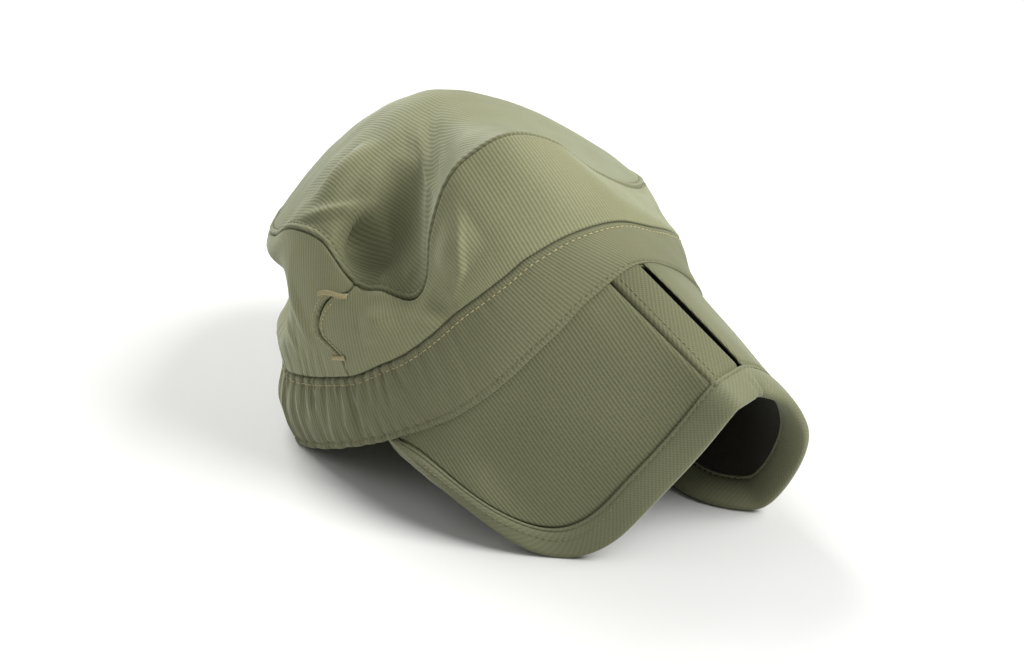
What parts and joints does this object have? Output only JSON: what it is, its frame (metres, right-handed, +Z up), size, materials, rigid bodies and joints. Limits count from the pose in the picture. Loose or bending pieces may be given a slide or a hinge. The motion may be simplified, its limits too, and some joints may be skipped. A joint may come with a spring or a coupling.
{
  "type": "packable sun cap with folding peak",
  "caption": "soft packable sun cap with an oval crown, elastic headband and a three-panel folding peak, lying half folded on a table",
  "frame": {"origin": "on the table, under the middle of the cap's box", "axes": "+Z up, the peak points to -Y, the wearer's right side is -X"},
  "size_m": [0.152, 0.25, 0.156],
  "materials": {
    "crown_cloth": "matt ribbed polyamide",
    "side_cloth": "matt ribbed polyamide",
    "band_cloth": "matt ribbed polyamide over elastic",
    "peak_cloth": "matt ribbed polyamide over a stiff sheet",
    "strip_cloth": "matt polyamide, cut on the bias",
    "lining_cloth": "matt fine grid weave",
    "binding_cloth": "matt polyamide, cut on the bias"
  },
  "bodies": {
    "root": {"crown_top": "crown_cloth", "side_front": "side_cloth", "side_back": "side_cloth", "headband": "band_cloth", "peak_panel_left": "peak_cloth", "peak_panel_right": "peak_cloth", "peak_strip": "strip_cloth", "peak_lining": "lining_cloth", "peak_binding": "binding_cloth"}
  },
  "joints": []
}
